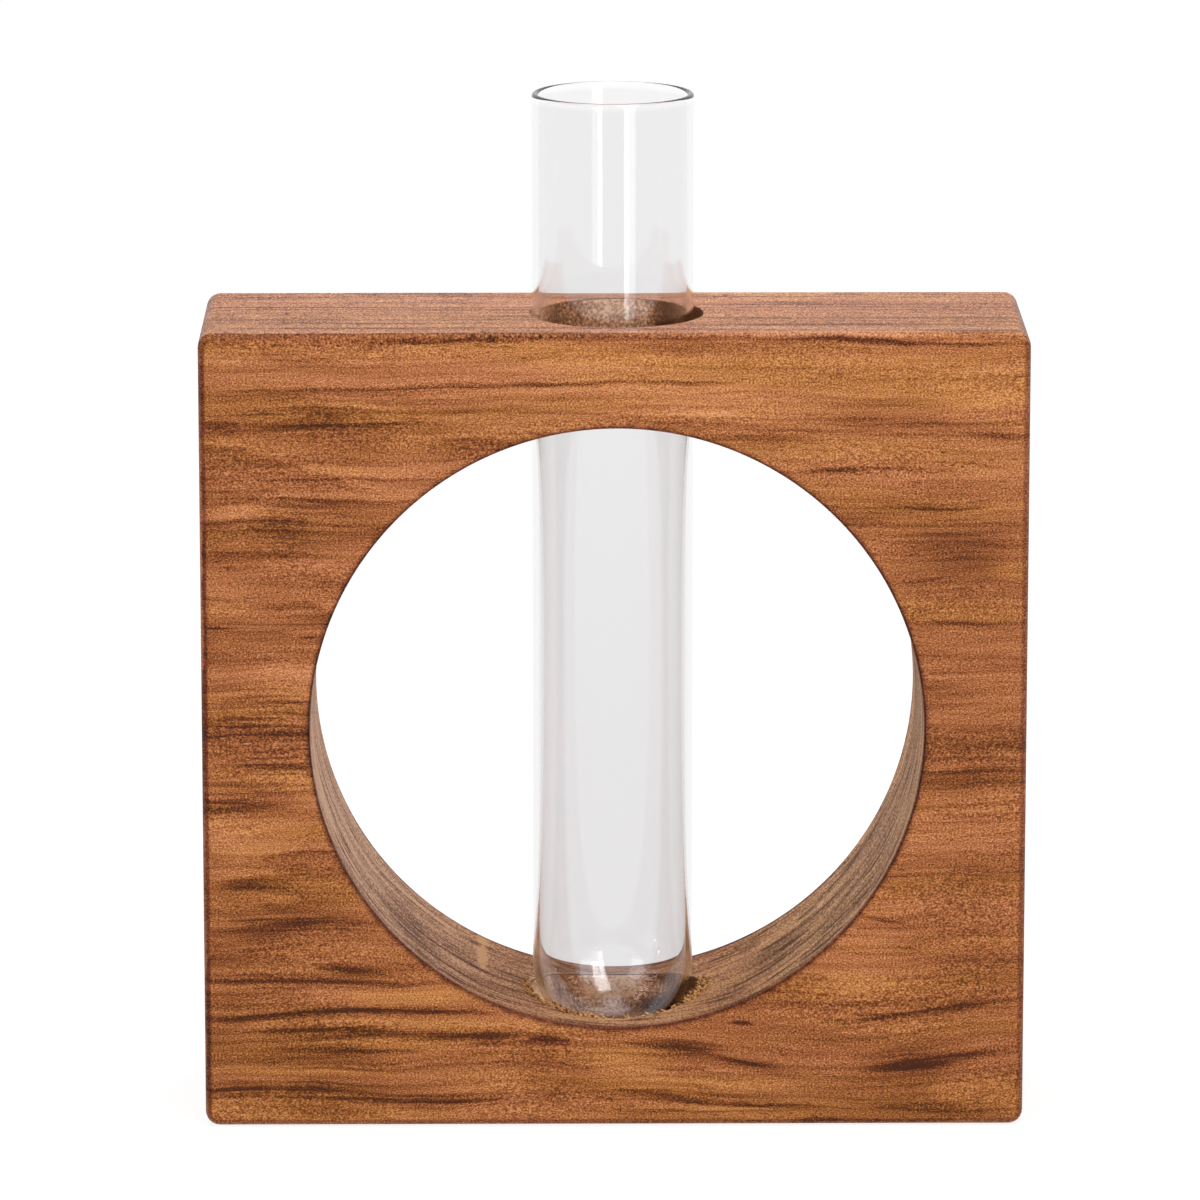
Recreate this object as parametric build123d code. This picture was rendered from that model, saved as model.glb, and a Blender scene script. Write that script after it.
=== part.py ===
from build123d import *

import os

# A test tube vase: a thick wooden block with a round window cut through it, and a glass
# test tube that drops in through the top bar, crosses the window and stands in a blind
# pocket in the bottom bar. The tube is loose and lifts straight out.
#
# Millimetres. The origin is the middle of the block's underside, +Z is up, +X runs along
# the block's width, and the front face looks towards -Y.

# Glass tube
tube_diameter = 25.0
tube_wall = 1.0
tube_length = 150.0

# Hole drilled for the tube: right through the top bar, then blind in the bottom bar
bore_clearance = 0.9
bore_edge_chamfer = 0.15
bore_shift_right = 0.5
pocket_depth = 6.8

# Round window, cut through the block from front to back
window_diameter = 94.5
window_shift_right = 0.4
window_edge_radius = 0.5

# Wood left round the window and round the tube's hole
side_bar = 16.25
top_bar = 14.75
bottom_bar = 15.75
bore_side_wall = 5.6

# Sanded edges of the block
corner_radius = 2.2
edge_radius = 1.4

# Gaps where the loose tube leans on the left of its hole and stands on the pocket's floor
lean_gap = 0.3
seat_gap = 0.3

# How far a cutter runs past the face that it opens
overrun = 5.0

# Sizes and places that follow from those above
window_radius = window_diameter / 2
window_centre_z = bottom_bar + window_radius
tube_radius = tube_diameter / 2
tube_inner_radius = tube_radius - tube_wall
bore_radius = tube_radius + bore_clearance
block_width = window_diameter + 2 * side_bar
block_depth = 2 * (bore_radius + bore_side_wall)
block_height = bottom_bar + window_diameter + top_bar
pocket_floor_z = bottom_bar - pocket_depth
tube_shift_right = bore_shift_right - (bore_clearance - lean_gap)
tube_bottom_z = pocket_floor_z + seat_gap
tube_top_z = tube_bottom_z + tube_length
round_end_centre_z = tube_bottom_z + tube_radius
rim_radius = tube_wall / 2
rim_centre_z = tube_top_z - rim_radius


def outer_block():
    """The plain block: rounded corners seen from the front, then eased front and back outlines."""
    outline = RectangleRounded(block_width, block_height, corner_radius)
    front_outline = Plane.XZ * outline
    slab = extrude(front_outline, block_depth / 2, both=True)
    slab = Pos(0, 0, block_height / 2) * slab
    front_and_back_edges = slab.faces().filter_by(Axis.Y).edges()
    return fillet(front_and_back_edges, edge_radius)


def window_cutter():
    """A cylinder from front to back, longer than the block is deep."""
    cutter = Cylinder(window_radius, block_depth + 2 * overrun, rotation=(90, 0, 0))
    return Pos(window_shift_right, 0, window_centre_z) * cutter


def bore_cutter():
    """The drill's sweep, from above the block down to the flat floor of the pocket."""
    sweep_length = block_height + overrun - pocket_floor_z
    sweep = Cylinder(bore_radius, sweep_length, align=(Align.CENTER, Align.CENTER, Align.MIN))
    return Pos(bore_shift_right, 0, pocket_floor_z) * sweep


def wood_block():
    """The block with its window, the window's two rims eased, and the tube's hole."""
    block = outer_block() - window_cutter()
    front_face = block.faces().sort_by(Axis.Y)[0]
    back_face = block.faces().sort_by(Axis.Y)[-1]
    window_rims = front_face.inner_wires().edges() + back_face.inner_wires().edges()
    block = fillet(window_rims, window_edge_radius)
    block = block - bore_cutter()
    top_face = block.faces().sort_by(Axis.Z)[-1]
    return chamfer(top_face.inner_wires().edges(), bore_edge_chamfer)


def test_tube():
    """A thin-walled glass tube, round at its closed end, its open rim melted half-round."""
    round_end_centre = (0, round_end_centre_z)
    rim_centre = (tube_radius - rim_radius, rim_centre_z)
    outer_turn = (tube_radius, round_end_centre_z)
    outer_rim = (tube_radius, rim_centre_z)
    inner_rim = (tube_inner_radius, rim_centre_z)
    inner_turn = (tube_inner_radius, round_end_centre_z)
    inner_pole = (0, tube_bottom_z + tube_wall)
    outer_pole = (0, tube_bottom_z)
    with BuildSketch(Plane.XZ) as half_section:
        with BuildLine():
            CenterArc(round_end_centre, tube_radius, -90, 90)
            Line(outer_turn, outer_rim)
            CenterArc(rim_centre, rim_radius, 0, 180)
            Line(inner_rim, inner_turn)
            CenterArc(round_end_centre, tube_inner_radius, -90, 90)
            Line(inner_pole, outer_pole)
        make_face()
    tube = revolve(half_section.sketch, Axis.Z)
    return Pos(tube_shift_right, 0, 0) * tube


pieces = {"wood_block": wood_block(), "test_tube": test_tube()}

os.makedirs("parts", exist_ok=True)
for node, solid in pieces.items():
    export_step(solid, f"parts/{node}.step")
    box = solid.bounding_box()
    print(node, "volume", round(solid.volume), "from", box.min, "to", box.max)
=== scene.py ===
import math
import random

import bmesh
import bpy
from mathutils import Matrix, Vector


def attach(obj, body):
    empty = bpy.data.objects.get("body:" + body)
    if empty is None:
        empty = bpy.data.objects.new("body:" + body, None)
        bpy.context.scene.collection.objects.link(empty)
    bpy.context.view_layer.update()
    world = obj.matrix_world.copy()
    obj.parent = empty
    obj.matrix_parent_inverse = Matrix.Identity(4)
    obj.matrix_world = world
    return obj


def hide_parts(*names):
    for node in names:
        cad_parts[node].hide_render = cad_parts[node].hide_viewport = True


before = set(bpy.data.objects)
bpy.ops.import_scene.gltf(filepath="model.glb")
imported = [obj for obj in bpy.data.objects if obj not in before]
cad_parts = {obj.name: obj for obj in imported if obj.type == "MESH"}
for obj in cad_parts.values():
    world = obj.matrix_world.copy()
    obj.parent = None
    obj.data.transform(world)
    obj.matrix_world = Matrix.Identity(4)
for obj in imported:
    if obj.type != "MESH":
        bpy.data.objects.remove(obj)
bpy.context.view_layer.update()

# Sizes in metres, in the frame of the CAD model: the origin is the middle of the block's
# underside, +Z is up, +X runs along the block's width and the front face looks towards -Y.
MM = 0.001

BLOCK_WIDTH = 127.0 * MM
BLOCK_DEPTH = 38.0 * MM
BLOCK_HEIGHT = 125.0 * MM
CORNER_RADIUS = 2.2 * MM
OUTLINE_RADIUS = 1.4 * MM

WINDOW_RADIUS = 47.25 * MM
WINDOW_X = 0.4 * MM
WINDOW_Z = 63.0 * MM
WINDOW_RIM_RADIUS = 0.5 * MM

BORE_RADIUS = 13.4 * MM
BORE_X = 0.5 * MM
POCKET_FLOOR_Z = 8.95 * MM
BORE_RIM = 0.18 * MM

TUBE_X = -0.1 * MM
TUBE_RADIUS = 12.5 * MM
TUBE_WALL = 1.0 * MM
TUBE_BOTTOM_Z = 9.25 * MM
TUBE_TOP_Z = 159.25 * MM
TUBE_SPIN_STEPS = 160
ROUND_END_STEPS = 28
TUBE_RIM_STEPS = 10

CLOSE = 0.02 * MM
SHARP_ANGLE = math.radians(30.0)


# Small helpers for modelling


def deselect_everything():
    for thing in list(bpy.context.selected_objects):
        thing.select_set(False)


def activate(thing):
    deselect_everything()
    thing.select_set(True)
    bpy.context.view_layer.objects.active = thing


def rename(thing, name):
    thing.name = name
    thing.data.name = name


def settle(thing):
    """Puts an object's place, turn and size into its mesh."""
    activate(thing)
    bpy.ops.object.transform_apply(location=True, rotation=True, scale=True)


def edit(thing):
    """Opens a mesh for editing with nothing selected, and returns it."""
    activate(thing)
    bpy.ops.object.mode_set(mode="EDIT")
    bpy.ops.mesh.select_mode(type="VERT")
    bpy.ops.mesh.select_all(action="DESELECT")
    return bmesh.from_edit_mesh(thing.data)


def leave_edit():
    bpy.ops.object.mode_set(mode="OBJECT")


def bevel_edges(thing, wanted, width, segments):
    """Rounds the edges that pass a test."""
    mesh = edit(thing)
    bpy.ops.mesh.select_mode(type="EDGE")
    for edge in mesh.edges:
        edge.select_set(wanted(edge))
    bmesh.update_edit_mesh(thing.data)
    bpy.ops.mesh.bevel(offset=width, segments=segments, profile=0.5, affect="EDGES")
    leave_edit()


def cut(thing, cutter):
    """Takes a cutter's shape out of a piece, then throws the cutter away."""
    activate(thing)
    boolean = thing.modifiers.new("cut", "BOOLEAN")
    boolean.operation = "DIFFERENCE"
    boolean.solver = "EXACT"
    boolean.object = cutter
    bpy.ops.object.modifier_apply(modifier=boolean.name)
    bpy.data.objects.remove(cutter, do_unlink=True)


def from_window_axis(point):
    return math.hypot(point.x - WINDOW_X, point.z - WINDOW_Z)


def from_bore_axis(point):
    return math.hypot(point.x - BORE_X, point.y)


def both_ends(edge, test):
    return all(test(corner.co) for corner in edge.verts)


def is_sharp(edge):
    return len(edge.link_faces) == 2 and edge.calc_face_angle() > SHARP_ANGLE


# The wooden block


def runs_front_to_back(edge):
    first, last = edge.verts
    return abs(first.co.y - last.co.y) > BLOCK_DEPTH / 2


def on_front_or_back(point):
    return abs(abs(point.y) - BLOCK_DEPTH / 2) < CLOSE


def is_outline(edge):
    return both_ends(edge, on_front_or_back) and not runs_front_to_back(edge)


def is_window_rim(edge):
    def on_rim(point):
        return on_front_or_back(point) and abs(from_window_axis(point) - WINDOW_RADIUS) < CLOSE

    return both_ends(edge, on_rim) and is_sharp(edge)


def is_bore_rim(edge):
    def on_bore(point):
        return abs(from_bore_axis(point) - BORE_RADIUS) < CLOSE and point.z > POCKET_FLOOR_Z + MM

    return both_ends(edge, on_bore) and is_sharp(edge)


def sawn_block():
    """A slab with its four corners rounded, and then its front and back outlines."""
    bpy.ops.mesh.primitive_cube_add(
        size=1.0,
        location=(0.0, 0.0, BLOCK_HEIGHT / 2),
        scale=(BLOCK_WIDTH, BLOCK_DEPTH, BLOCK_HEIGHT),
    )
    block = bpy.context.object
    settle(block)
    bevel_edges(block, runs_front_to_back, CORNER_RADIUS, 6)
    bevel_edges(block, is_outline, OUTLINE_RADIUS, 5)
    return block


def window_cutter():
    bpy.ops.mesh.primitive_cylinder_add(
        vertices=256,
        radius=WINDOW_RADIUS,
        depth=BLOCK_DEPTH * 1.5,
        location=(WINDOW_X, 0.0, WINDOW_Z),
        rotation=(math.pi / 2, 0.0, 0.0),
    )
    return bpy.context.object


def bore_cutter():
    sweep = BLOCK_HEIGHT * 1.1 - POCKET_FLOOR_Z
    bpy.ops.mesh.primitive_cylinder_add(
        vertices=192,
        radius=BORE_RADIUS,
        depth=sweep,
        location=(BORE_X, 0.0, POCKET_FLOOR_Z + sweep / 2),
    )
    return bpy.context.object


def make_block():
    """The block with its window, the window's eased rims, and the tube's hole."""
    block = sawn_block()
    rename(block, "teak_block")
    cut(block, window_cutter())
    bevel_edges(block, is_window_rim, WINDOW_RIM_RADIUS, 3)
    cut(block, bore_cutter())
    bevel_edges(block, is_bore_rim, BORE_RIM, 2)
    smooth_roundings(block)
    return block


def weight_normals(piece):
    """Lets the large plain faces keep their true normals beside a rounding's narrow ones."""
    activate(piece)
    weighted = piece.modifiers.new("large faces lead", "WEIGHTED_NORMAL")
    weighted.keep_sharp = True
    weighted.weight = 60
    bpy.ops.object.modifier_apply(modifier=weighted.name)


def smooth_roundings(block):
    activate(block)
    bpy.ops.object.shade_smooth_by_angle(angle=math.radians(40.0))
    weight_normals(block)


# Torn fibres that the drill left standing round the pocket's rim

# The arcs that carry them, from the right round by the back: first and last angle in degrees,
# and how many.
FIBRE_ARCS = ((176.0, 258.0, 230), (322.0, 372.0, 130), (258.0, 322.0, 16))


def make_sliver():
    """One splinter 1 mm long, its foot at the origin and its tip along +X, thin and pointed."""
    bpy.ops.mesh.primitive_cube_add(
        size=1.0,
        location=(0.5 * MM, 0.0, 0.0),
        scale=(1.0 * MM, 0.30 * MM, 0.20 * MM),
    )
    sliver = bpy.context.object
    settle(sliver)
    mesh = edit(sliver)
    for corner in mesh.verts:
        corner.select_set(corner.co.x > 0.5 * MM)
    mesh.select_flush(True)
    bmesh.update_edit_mesh(sliver.data)
    tip = (1.0 * MM, 0.0, 0.0)
    bpy.ops.transform.resize(value=(1.0, 0.25, 0.30), center_override=tip)
    bpy.ops.transform.translate(value=(0.0, 0.06 * MM, 0.05 * MM))
    leave_edit()
    return sliver


def rim_point(angle, outside):
    """A place on the window's wall, so far outside the tube's hole."""
    reach = BORE_RADIUS + outside
    x = BORE_X + reach * math.cos(angle)
    y = reach * math.sin(angle)
    z = WINDOW_Z - math.sqrt(WINDOW_RADIUS**2 - (x - WINDOW_X) ** 2)
    return x, y, z


def stand_splinter(sliver, angle, leans_right, chance):
    """A copy of the splinter just outside the rim, with a length, thickness and lean of its own."""
    outside = 0.15 * MM + chance.random() ** 2 * 0.6 * MM
    splinter = sliver.copy()
    splinter.data = sliver.data.copy()
    bpy.context.collection.objects.link(splinter)
    length = chance.uniform(0.5, 1.3)
    thickness = chance.uniform(0.9, 1.9)
    away = 0.0 if leans_right else math.pi
    lift = -math.radians(chance.uniform(8.0, 60.0))
    turn = away + math.radians(chance.uniform(-35.0, 35.0))
    splinter.location = rim_point(angle, outside)
    splinter.scale = (length, thickness, thickness)
    splinter.rotation_euler = (0.0, lift, turn)
    return splinter


def join_all(pieces):
    deselect_everything()
    for piece in pieces:
        piece.select_set(True)
    bpy.context.view_layer.objects.active = pieces[0]
    bpy.ops.object.join()
    return bpy.context.object


def make_torn_fibres():
    """Copies of the splinter, thickest along the left front of the rim, most leaning left."""
    chance = random.Random(7)
    sliver = make_sliver()
    splinters = []
    for first, last, count in FIBRE_ARCS:
        for step in range(count):
            angle = math.radians(first + (last - first) * (step + chance.random()) / count)
            leans_right = math.cos(angle) > 0.0 and step % 3 == 0
            splinters.append(stand_splinter(sliver, angle, leans_right, chance))
    bpy.data.objects.remove(sliver, do_unlink=True)
    fibres = join_all(splinters)
    rename(fibres, "torn_fibres")
    settle(fibres)
    return fibres


# The glass tube


def make_tube():
    """A half-section drawn as one chain of edges, then spun round the tube's axis."""
    bpy.ops.mesh.primitive_plane_add(size=MM, location=(TUBE_X, 0.0, TUBE_BOTTOM_Z))
    tube = bpy.context.object
    rename(tube, "glass_tube")
    settle(tube)
    edit(tube)
    bpy.ops.mesh.select_all(action="SELECT")
    bpy.ops.mesh.merge(type="CENTER")
    draw_section()
    bpy.ops.mesh.select_all(action="SELECT")
    bpy.ops.mesh.spin(
        steps=TUBE_SPIN_STEPS,
        angle=2 * math.pi,
        center=(TUBE_X, 0.0, 0.0),
        axis=(0.0, 0.0, 1.0),
    )
    bpy.ops.mesh.select_all(action="SELECT")
    bpy.ops.mesh.remove_doubles(threshold=CLOSE / 10)
    bpy.ops.mesh.normals_make_consistent(inside=False)
    leave_edit()
    bpy.ops.object.shade_smooth()
    weight_normals(tube)
    return tube


def draw_section():
    """Outer round end, outer wall, half-round rim, inner wall, inner round end."""
    round_centre_z = TUBE_BOTTOM_Z + TUBE_RADIUS
    rim_radius = TUBE_WALL / 2
    rim_z = TUBE_TOP_Z - rim_radius
    wall_length = rim_z - round_centre_z
    round_centre = (TUBE_X, 0.0, round_centre_z)
    rim_centre = (TUBE_X + TUBE_RADIUS - rim_radius, 0.0, rim_z)
    sweep_end(round_centre, math.pi / 2, ROUND_END_STEPS)
    extrude_end(wall_length)
    sweep_end(rim_centre, math.pi, TUBE_RIM_STEPS)
    extrude_end(-wall_length)
    sweep_end(round_centre, -math.pi / 2, ROUND_END_STEPS)


def sweep_end(centre, angle, steps):
    """Swings the selected end of the chain round a point, in the XZ plane, from -Z to +X."""
    bpy.ops.mesh.spin(steps=steps, angle=angle, center=centre, axis=(0.0, 1.0, 0.0))


def extrude_end(height):
    move = {"value": (0.0, 0.0, height)}
    bpy.ops.mesh.extrude_region_move(TRANSFORM_OT_translate=move)


# Helpers for shader nodes

WHITE = (1.0, 1.0, 1.0, 1.0)


class Nodes:
    """Adds nodes to one tree. A value given to an input may be a number or a socket."""

    def __init__(self, tree):
        self.tree = tree

    def feed(self, socket, value):
        if isinstance(value, bpy.types.NodeSocket):
            self.tree.links.new(value, socket)
        elif value is not None:
            socket.default_value = value

    def add(self, kind, **settings):
        node = self.tree.nodes.new(kind)
        for name, value in settings.items():
            setattr(node, name, value)
        return node

    def math(self, operation, first, second=None, third=None, clamp=False):
        node = self.add("ShaderNodeMath", operation=operation, use_clamp=clamp)
        for socket, value in zip(node.inputs, (first, second, third)):
            self.feed(socket, value)
        return node.outputs[0]

    def vector(self, operation, first, second=None):
        node = self.add("ShaderNodeVectorMath", operation=operation)
        self.feed(node.inputs[0], first)
        self.feed(node.inputs[1], second)
        return node.outputs["Value" if operation == "LENGTH" else "Vector"]

    def split(self, vector):
        node = self.add("ShaderNodeSeparateXYZ")
        self.feed(node.inputs[0], vector)
        return node.outputs[0], node.outputs[1], node.outputs[2]

    def join(self, x, y, z):
        node = self.add("ShaderNodeCombineXYZ")
        for socket, value in zip(node.inputs, (x, y, z)):
            self.feed(socket, value)
        return node.outputs[0]

    def millimetres(self, vector):
        return self.vector("MULTIPLY", vector, (1000.0, 1000.0, 1000.0))

    def noise(self, vector, size, detail=2.0, roughness=0.5):
        """Grey noise from 0 to 1, with features of one size."""
        node = self.add("ShaderNodeTexNoise")
        self.feed(node.inputs["Vector"], vector)
        self.feed(node.inputs["Scale"], 1 / size)
        self.feed(node.inputs["Detail"], detail)
        self.feed(node.inputs["Roughness"], roughness)
        return node.outputs["Fac"]

    def stretched(self, vector, length, depth, height, detail=2.0, roughness=0.5):
        """Grey noise from 0 to 1, its features of different sizes along X, Y and Z."""
        scaled = self.vector("MULTIPLY", vector, (1 / length, 1 / depth, 1 / height))
        return self.noise(scaled, 1.0, detail, roughness)

    def scale_add(self, value, amount, base):
        return self.math("MULTIPLY_ADD", value, amount, base)

    def swing(self, value, amount, base=0.0):
        """Adds a value's distance from a half, times an amount, to a base."""
        return self.scale_add(self.math("SUBTRACT", value, 0.5), amount, base)

    def remap(self, value, low, high, to_low=0.0, to_high=1.0, smooth=False):
        node = self.add("ShaderNodeMapRange")
        node.interpolation_type = "SMOOTHSTEP" if smooth else "LINEAR"
        for socket, number in zip(node.inputs, (value, low, high, to_low, to_high)):
            self.feed(socket, number)
        return node.outputs["Result"]

    def mix_colour(self, amount, first, second, blend="MIX"):
        node = self.add("ShaderNodeMix", data_type="RGBA", blend_type=blend)
        self.feed(node.inputs["Factor"], amount)
        self.feed(node.inputs[6], first)
        self.feed(node.inputs[7], second)
        return node.outputs[2]

    def mix_shader(self, amount, first, second):
        node = self.add("ShaderNodeMixShader")
        for socket, value in zip(node.inputs, (amount, first, second)):
            self.feed(socket, value)
        return node.outputs[0]

    def white_light(self, kind, strength):
        node = self.add(kind)
        self.feed(node.inputs["Color"], WHITE)
        self.feed(node.inputs["Strength"], strength)
        return node.outputs[0]

    def matte_grey(self, value):
        node = self.add("ShaderNodeBsdfDiffuse")
        self.feed(node.inputs["Color"], (value, value, value, 1.0))
        return node.outputs[0]

    def ramp(self, value, stops):
        node = self.add("ShaderNodeValToRGB")
        elements = node.color_ramp.elements
        while len(elements) < len(stops):
            elements.new(0.5)
        for element, (place, colour) in zip(elements, stops):
            element.position = place
            element.color = (*colour, 1.0)
        self.feed(node.inputs[0], value)
        return node.outputs["Color"]

    def group(self, tree, **values):
        """Places a node group, its inputs given by name with underscores for spaces."""
        node = self.add("ShaderNodeGroup")
        node.node_tree = tree
        for name, value in values.items():
            self.feed(node.inputs[name.replace("_", " ")], value)
        return node


def new_group(name, inputs, outputs):
    """A shader node group. Returns it, its node helper, its inputs and its outputs."""
    tree = bpy.data.node_groups.new(name, "ShaderNodeTree")
    for label, kind, value in inputs:
        socket = tree.interface.new_socket(name=label, in_out="INPUT", socket_type=kind)
        if value is not None:
            socket.default_value = value
    for label, kind in outputs:
        tree.interface.new_socket(name=label, in_out="OUTPUT", socket_type=kind)
    nodes = Nodes(tree)
    entry = nodes.add("NodeGroupInput")
    leave = nodes.add("NodeGroupOutput")
    return tree, nodes, entry.outputs, leave.inputs


FLOAT = "NodeSocketFloat"
VECTOR = "NodeSocketVector"


# Shared effects of the wood


def grain_space_group():
    """Object coordinates in millimetres, bent a little as fibres bend round each other."""
    tree, nodes, given, made = new_group("grain_space", [("Object", VECTOR, None)], [("Place", VECTOR)])
    place = nodes.millimetres(given["Object"])
    slow = nodes.swing(nodes.stretched(place, 42.0, 18.0, 13.0, 1.0), 4.0)
    drift = nodes.swing(nodes.stretched(place, 8.0, 5.0, 2.4), 1.0, slow)
    across = nodes.math("MULTIPLY", drift, 0.35)
    shift = nodes.join(0.0, across, drift)
    nodes.feed(made["Place"], nodes.vector("ADD", place, shift))
    return tree


def mark_group():
    """One soft streak or patch at a place near the front face, added to a sum."""
    tree, nodes, given, made = new_group(
        "figure_mark",
        [
            ("Sum", FLOAT, 0.0),
            ("Place", VECTOR, None),
            ("Centre", VECTOR, None),
            ("Half Size", VECTOR, (1.0, 1.0, 1.0)),
            ("Tilt", FLOAT, 0.0),
            ("Strength", FLOAT, 1.0),
        ],
        [("Sum", FLOAT)],
    )
    offset = nodes.vector("SUBTRACT", given["Place"], given["Centre"])
    turn = nodes.add("ShaderNodeVectorRotate", rotation_type="Y_AXIS")
    nodes.feed(turn.inputs["Vector"], offset)
    nodes.feed(turn.inputs["Angle"], given["Tilt"])
    reach = nodes.vector("LENGTH", nodes.vector("DIVIDE", turn.outputs[0], given["Half Size"]))
    body = nodes.remap(reach, 1.5, 0.1, smooth=True)
    nodes.feed(made["Sum"], nodes.scale_add(body, given["Strength"], given["Sum"]))
    return tree


def lean_group(mark):
    """Bends the grain uphill to the right inside one soft patch."""
    tree, nodes, given, made = new_group(
        "grain_lean",
        [
            ("Place", VECTOR, None),
            ("Centre", VECTOR, None),
            ("Half Size", VECTOR, (1.0, 1.0, 1.0)),
            ("Slope", FLOAT, 0.1),
        ],
        [("Place", VECTOR)],
    )
    place, centre = given["Place"], given["Centre"]
    patch = nodes.group(mark, Place=place, Centre=centre, Half_Size=given["Half Size"])
    along = nodes.split(nodes.vector("SUBTRACT", place, centre))[0]
    rise = nodes.math("MULTIPLY", along, given["Slope"])
    rise = nodes.math("MULTIPLY", rise, patch.outputs["Sum"])
    shift = nodes.join(0.0, 0.0, rise)
    nodes.feed(made["Place"], nodes.vector("SUBTRACT", place, shift))
    return tree


def growth_group():
    """Growth rings that lie nearly flat to the front face, from 0 early wood to 1 late wood."""
    tree, nodes, given, made = new_group(
        "growth_rings",
        [("Place", VECTOR, None), ("Spacing", FLOAT, 3.2)],
        [("Late Wood", FLOAT)],
    )
    place = given["Place"]
    x, y, z = nodes.split(place)
    depth = nodes.scale_add(nodes.stretched(place, 60.0, 40.0, 10.0), 4.2, y)
    depth = nodes.scale_add(nodes.stretched(place, 200.0, 5.0, 200.0), 9.0, depth)
    depth = nodes.scale_add(nodes.stretched(place, 30.0, 6.0, 2.6, 3.0), 1.6, depth)
    depth = nodes.scale_add(z, 0.045, depth)
    part = nodes.math("FRACT", nodes.math("DIVIDE", depth, given["Spacing"]))
    rise = nodes.remap(part, 0.35, 0.90, smooth=True)
    fall = nodes.remap(part, 0.90, 1.0, 1.0, 0.0)
    strength = nodes.remap(nodes.stretched(place, 70.0, 2.2, 30.0, 1.0), 0.35, 0.65)
    ring = nodes.math("MULTIPLY", rise, fall)
    nodes.feed(made["Late Wood"], nodes.math("MULTIPLY", ring, strength))
    return tree


def fibre_group():
    """Fibres along X at three thicknesses. Shade is 0 dark to 1 light, about a half."""
    tree, nodes, given, made = new_group("fibres", [("Place", VECTOR, None)], [("Shade", FLOAT)])
    place = given["Place"]
    shade = nodes.swing(nodes.stretched(place, 30.0, 1.6, 0.8), 0.22, 0.5)
    shade = nodes.swing(nodes.stretched(place, 7.0, 1.2, 0.28, 1.0), 0.30, shade)
    shade = nodes.swing(nodes.stretched(place, 0.28, 0.7, 0.19, 0.0), 1.05, shade)
    nodes.feed(made["Shade"], shade)
    return tree


def pore_group():
    """Short dark vessel lines, from 0 none to 1 open pore."""
    tree, nodes, given, made = new_group(
        "pores",
        [("Place", VECTOR, None), ("Amount", FLOAT, 0.0)],
        [("Pore", FLOAT)],
    )
    dashes = nodes.stretched(given["Place"], 1.5, 0.8, 0.30, 1.0)
    crowd = nodes.stretched(given["Place"], 30.0, 8.0, 3.5)
    bar = nodes.scale_add(crowd, -0.20, 0.78)
    bar = nodes.scale_add(given["Amount"], -0.12, bar)
    over = nodes.math("SUBTRACT", dashes, bar)
    nodes.feed(made["Pore"], nodes.math("MULTIPLY", over, 12.0, clamp=True))
    return tree


FRONT_Y = -19.0

# Where the grain runs uphill to the right on the front face, in millimetres: x, z, half
# length, half height, slope.
GRAIN_LEANS = (
    (52, 14, 20, 13, 0.17),
    (15, 10, 14, 7, -0.12),
    (-40, 17, 20, 6, 0.06),
    (-22, 117, 24, 7, 0.04),
    (50, 88, 12, 9, 0.06),
)

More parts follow.
